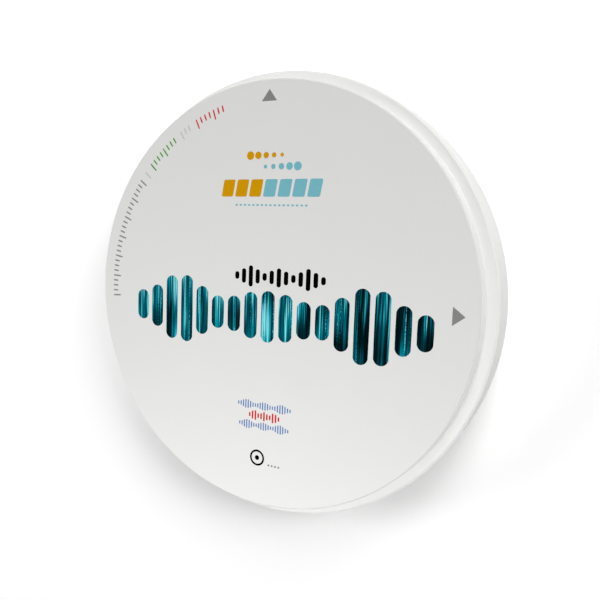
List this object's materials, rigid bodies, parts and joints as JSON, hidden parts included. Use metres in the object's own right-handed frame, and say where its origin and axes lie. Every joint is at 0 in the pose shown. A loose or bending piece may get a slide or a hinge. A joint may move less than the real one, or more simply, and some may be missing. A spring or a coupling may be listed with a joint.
{
  "type": "dental milling disc",
  "caption": "Round stepped ceramic blank for milling dental crowns and bridges, with a collar round its rim that the mill's holder grips.",
  "frame": {"origin": "centre of the back face, on which the disc lies", "axes": "+Z along the disc's axis, out of its front face; +Y towards the arrow at the top of the front face; +X towards the arrow at its right"},
  "size_m": [0.0984, 0.0984, 0.018],
  "materials": {
    "zirconia": "chalky matt, pressed and pre-sintered"
  },
  "bodies": {
    "root": {"milling_disc": "zirconia"}
  },
  "joints": []
}
